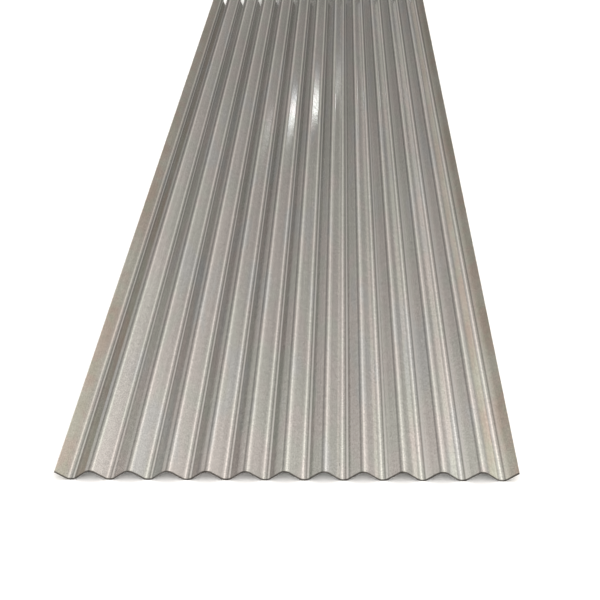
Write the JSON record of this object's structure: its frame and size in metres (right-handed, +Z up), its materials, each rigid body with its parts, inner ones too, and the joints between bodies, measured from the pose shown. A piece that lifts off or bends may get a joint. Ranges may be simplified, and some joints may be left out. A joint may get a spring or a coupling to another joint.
{
  "type": "corrugated metal sheet",
  "caption": "Long, thin galvanised steel sheet rolled into a regular rounded wave that runs along its length, with plain slit edges and square-cut ends.",
  "frame": {"origin": "middle of the sheet's footprint, on the floor plane that its troughs lie on", "axes": "+Y along the waves, from the front end to the back end; +X across the waves to the right; +Z up"},
  "size_m": [0.9004, 3, 0.0218],
  "materials": {
    "galvanised_steel": "satin"
  },
  "bodies": {
    "root": {"sheet": "galvanised_steel"}
  },
  "joints": []
}
